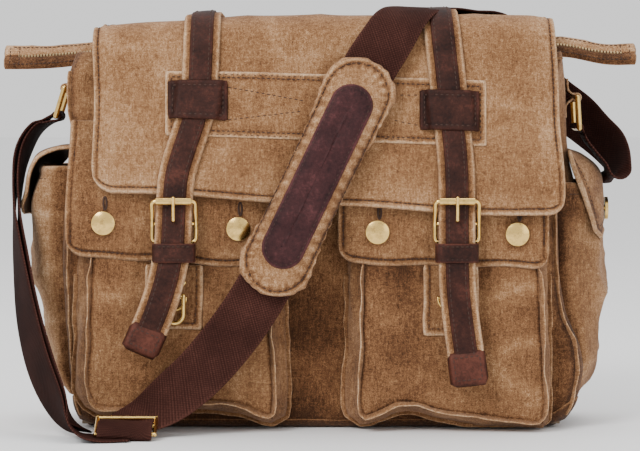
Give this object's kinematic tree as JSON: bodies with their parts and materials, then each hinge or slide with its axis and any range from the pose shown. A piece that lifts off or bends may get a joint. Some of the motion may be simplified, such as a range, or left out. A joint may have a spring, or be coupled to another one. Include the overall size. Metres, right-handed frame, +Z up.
{
  "type": "messenger bag",
  "caption": "Washed-canvas messenger bag with a strapped front flap, cargo pockets with flaps, side pockets and a padded webbing shoulder strap on side rings.",
  "frame": {"origin": "centre of the base panel's underside, on the surface that the bag stands on", "axes": "+X to the right as seen from the front, -Y out of the front, +Z up"},
  "size_m": [0.4627, 0.217, 0.3104],
  "materials": {
    "canvas": "washed brown cotton canvas",
    "lining": "plain dark brown cotton",
    "webbing": "dark brown woven webbing",
    "leather": "dark brown, satin",
    "brass": "antique brass",
    "zip_metal": "dull",
    "board": "matt",
    "foam": "matt"
  },
  "bodies": {
    "bag": {"front_panel": "canvas", "back_panel": "canvas", "left_gusset": "canvas", "right_gusset": "canvas", "base_panel": "canvas", "base_board": "board", "lining": "lining", "zip_facings": "canvas", "zip_teeth": "zip_metal", "zip_end_tabs": "canvas", "left_pocket_front": "canvas", "left_pocket_gusset": "canvas", "right_pocket_front": "canvas", "right_pocket_gusset": "canvas", "left_side_pocket": "canvas", "right_side_pocket": "canvas", "snap_studs": "brass", "clip_patches": "canvas", "clip_ring_tabs": "leather", "ring_tabs": "canvas", "flap_back": "canvas", "webbing_loop": "webbing", "strap_adjuster": "brass"},
    "main_flap": {"main_flap": "canvas", "flap_lining": "lining", "cross_band": "canvas", "flap_straps": "canvas", "strap_leathers": "leather", "strap_tips": "leather", "strap_loops": "leather", "keepers": "leather", "buckle_frames": "brass", "buckle_tabs": "leather", "shoulder_pad_cover": "canvas", "shoulder_pad_foam": "foam", "shoulder_pad_leather": "leather", "webbing_upper": "webbing", "webbing_lower": "webbing"},
    "left_pocket_flap": {"left_pocket_flap": "canvas", "left_pocket_snaps": "brass"},
    "right_pocket_flap": {"right_pocket_flap": "canvas", "right_pocket_snaps": "brass"},
    "left_side_flap": {"left_side_flap": "canvas", "left_side_snap": "brass"},
    "right_side_flap": {"right_side_flap": "canvas", "right_side_snap": "brass"},
    "left_ring": {"left_side_ring": "brass"},
    "right_ring": {"right_side_ring": "brass"},
    "left_clip_ring": {"left_clip_ring": "brass"},
    "right_clip_ring": {"right_clip_ring": "brass"},
    "left_roller": {"left_buckle_roller": "brass"},
    "right_roller": {"right_buckle_roller": "brass"},
    "left_prong": {"left_buckle_prong": "brass"},
    "right_prong": {"right_buckle_prong": "brass"},
    "left_hook": {"left_snap_hook": "brass"},
    "right_hook": {"right_snap_hook": "brass"},
    "left_gate": {"left_hook_gate": "brass"},
    "right_gate": {"right_hook_gate": "brass"},
    "zip_slider": {"zip_slider": "brass"},
    "zip_pull": {"zip_pull": "brass"}
  },
  "joints": [
    {"name": "flap_hinge", "type": "hinge", "parent": "bag", "child": "main_flap", "pos_m": [0.005, 0.066, 0.28], "axis": [-1, 0, 0], "range_deg": [0, 105], "deforming": ["webbing_upper", "webbing_lower"]},
    {"name": "left_ring_swing", "type": "hinge", "parent": "bag", "child": "left_ring", "pos_m": [-0.1905, 0, 0.25], "axis": [0, 1, 0], "range_deg": [0, 90], "deforming": ["webbing_loop"]},
    {"name": "right_ring_swing", "type": "hinge", "parent": "bag", "child": "right_ring", "pos_m": [0.1905, 0, 0.243], "axis": [0, -1, 0], "range_deg": [0, 90]},
    {"name": "zip_slide", "type": "slide", "parent": "bag", "child": "zip_slider", "axis": [-1, 0, 0], "range_m": [0, 0.292]},
    {"name": "zip_pull_hinge", "type": "hinge", "parent": "zip_slider", "child": "zip_pull", "pos_m": [0.146, 0, 0.2764], "axis": [0, 1, 0], "range_deg": [0, 180]},
    {"name": "left_pocket_flap_hinge", "type": "hinge", "parent": "bag", "child": "left_pocket_flap", "pos_m": [-0.107, -0.0558, 0.226], "axis": [-1, 0, 0], "range_deg": [0, 80]},
    {"name": "left_side_flap_hinge", "type": "hinge", "parent": "bag", "child": "left_side_flap", "pos_m": [-0.1848, 0, 0.207], "axis": [0, 1, 0], "range_deg": [0, 100]},
    {"name": "left_clip_ring_swing", "type": "hinge", "parent": "bag", "child": "left_clip_ring", "pos_m": [-0.107, -0.0753, 0.098], "axis": [-1, 0, 0], "range_deg": [0, 18]},
    {"name": "left_roller_turn", "type": "hinge", "parent": "main_flap", "child": "left_roller", "pos_m": [-0.106, -0.09056, 0.16853], "axis": [1, 0, 0], "continuous": true},
    {"name": "left_prong_hinge", "type": "hinge", "parent": "main_flap", "child": "left_prong", "pos_m": [-0.106, -0.08201, 0.15216], "axis": [1, 0, 0], "range_deg": [0, 35]},
    {"name": "left_hook_swing", "type": "hinge", "parent": "main_flap", "child": "left_hook", "pos_m": [-0.106, -0.08185, 0.1095], "axis": [-1, 0, 0], "range_deg": [-6, 8]},
    {"name": "left_gate_slide", "type": "slide", "parent": "left_hook", "child": "left_gate", "axis": [0, 0, 1], "range_m": [0, 0.0045], "stiffness_N_per_m": 200, "springref_m": -0.002},
    {"name": "right_pocket_flap_hinge", "type": "hinge", "parent": "bag", "child": "right_pocket_flap", "pos_m": [0.094, -0.0558, 0.226], "axis": [-1, 0, 0], "range_deg": [0, 80]},
    {"name": "right_side_flap_hinge", "type": "hinge", "parent": "bag", "child": "right_side_flap", "pos_m": [0.1848, 0, 0.207], "axis": [0, -1, 0], "range_deg": [0, 100]},
    {"name": "right_clip_ring_swing", "type": "hinge", "parent": "bag", "child": "right_clip_ring", "pos_m": [0.094, -0.0753, 0.098], "axis": [-1, 0, 0], "range_deg": [0, 18]},
    {"name": "right_roller_turn", "type": "hinge", "parent": "main_flap", "child": "right_roller", "pos_m": [0.098, -0.09056, 0.16853], "axis": [1, 0, 0], "continuous": true},
    {"name": "right_prong_hinge", "type": "hinge", "parent": "main_flap", "child": "right_prong", "pos_m": [0.098, -0.08201, 0.15216], "axis": [1, 0, 0], "range_deg": [0, 35]},
    {"name": "right_hook_swing", "type": "hinge", "parent": "main_flap", "child": "right_hook", "pos_m": [0.098, -0.08185, 0.1095], "axis": [-1, 0, 0], "range_deg": [-6, 8]},
    {"name": "right_gate_slide", "type": "slide", "parent": "right_hook", "child": "right_gate", "axis": [0, 0, 1], "range_m": [0, 0.0045], "stiffness_N_per_m": 200, "springref_m": -0.002}
  ],
  "couplings": [
    {"joint": "left_pocket_flap_hinge", "follows": "flap_hinge", "ratio": 0.6},
    {"joint": "right_pocket_flap_hinge", "follows": "flap_hinge", "ratio": 0.6},
    {"joint": "left_ring_swing", "follows": "left_side_flap_hinge", "ratio": 0.85},
    {"joint": "right_ring_swing", "follows": "right_side_flap_hinge", "ratio": 0.85}
  ]
}
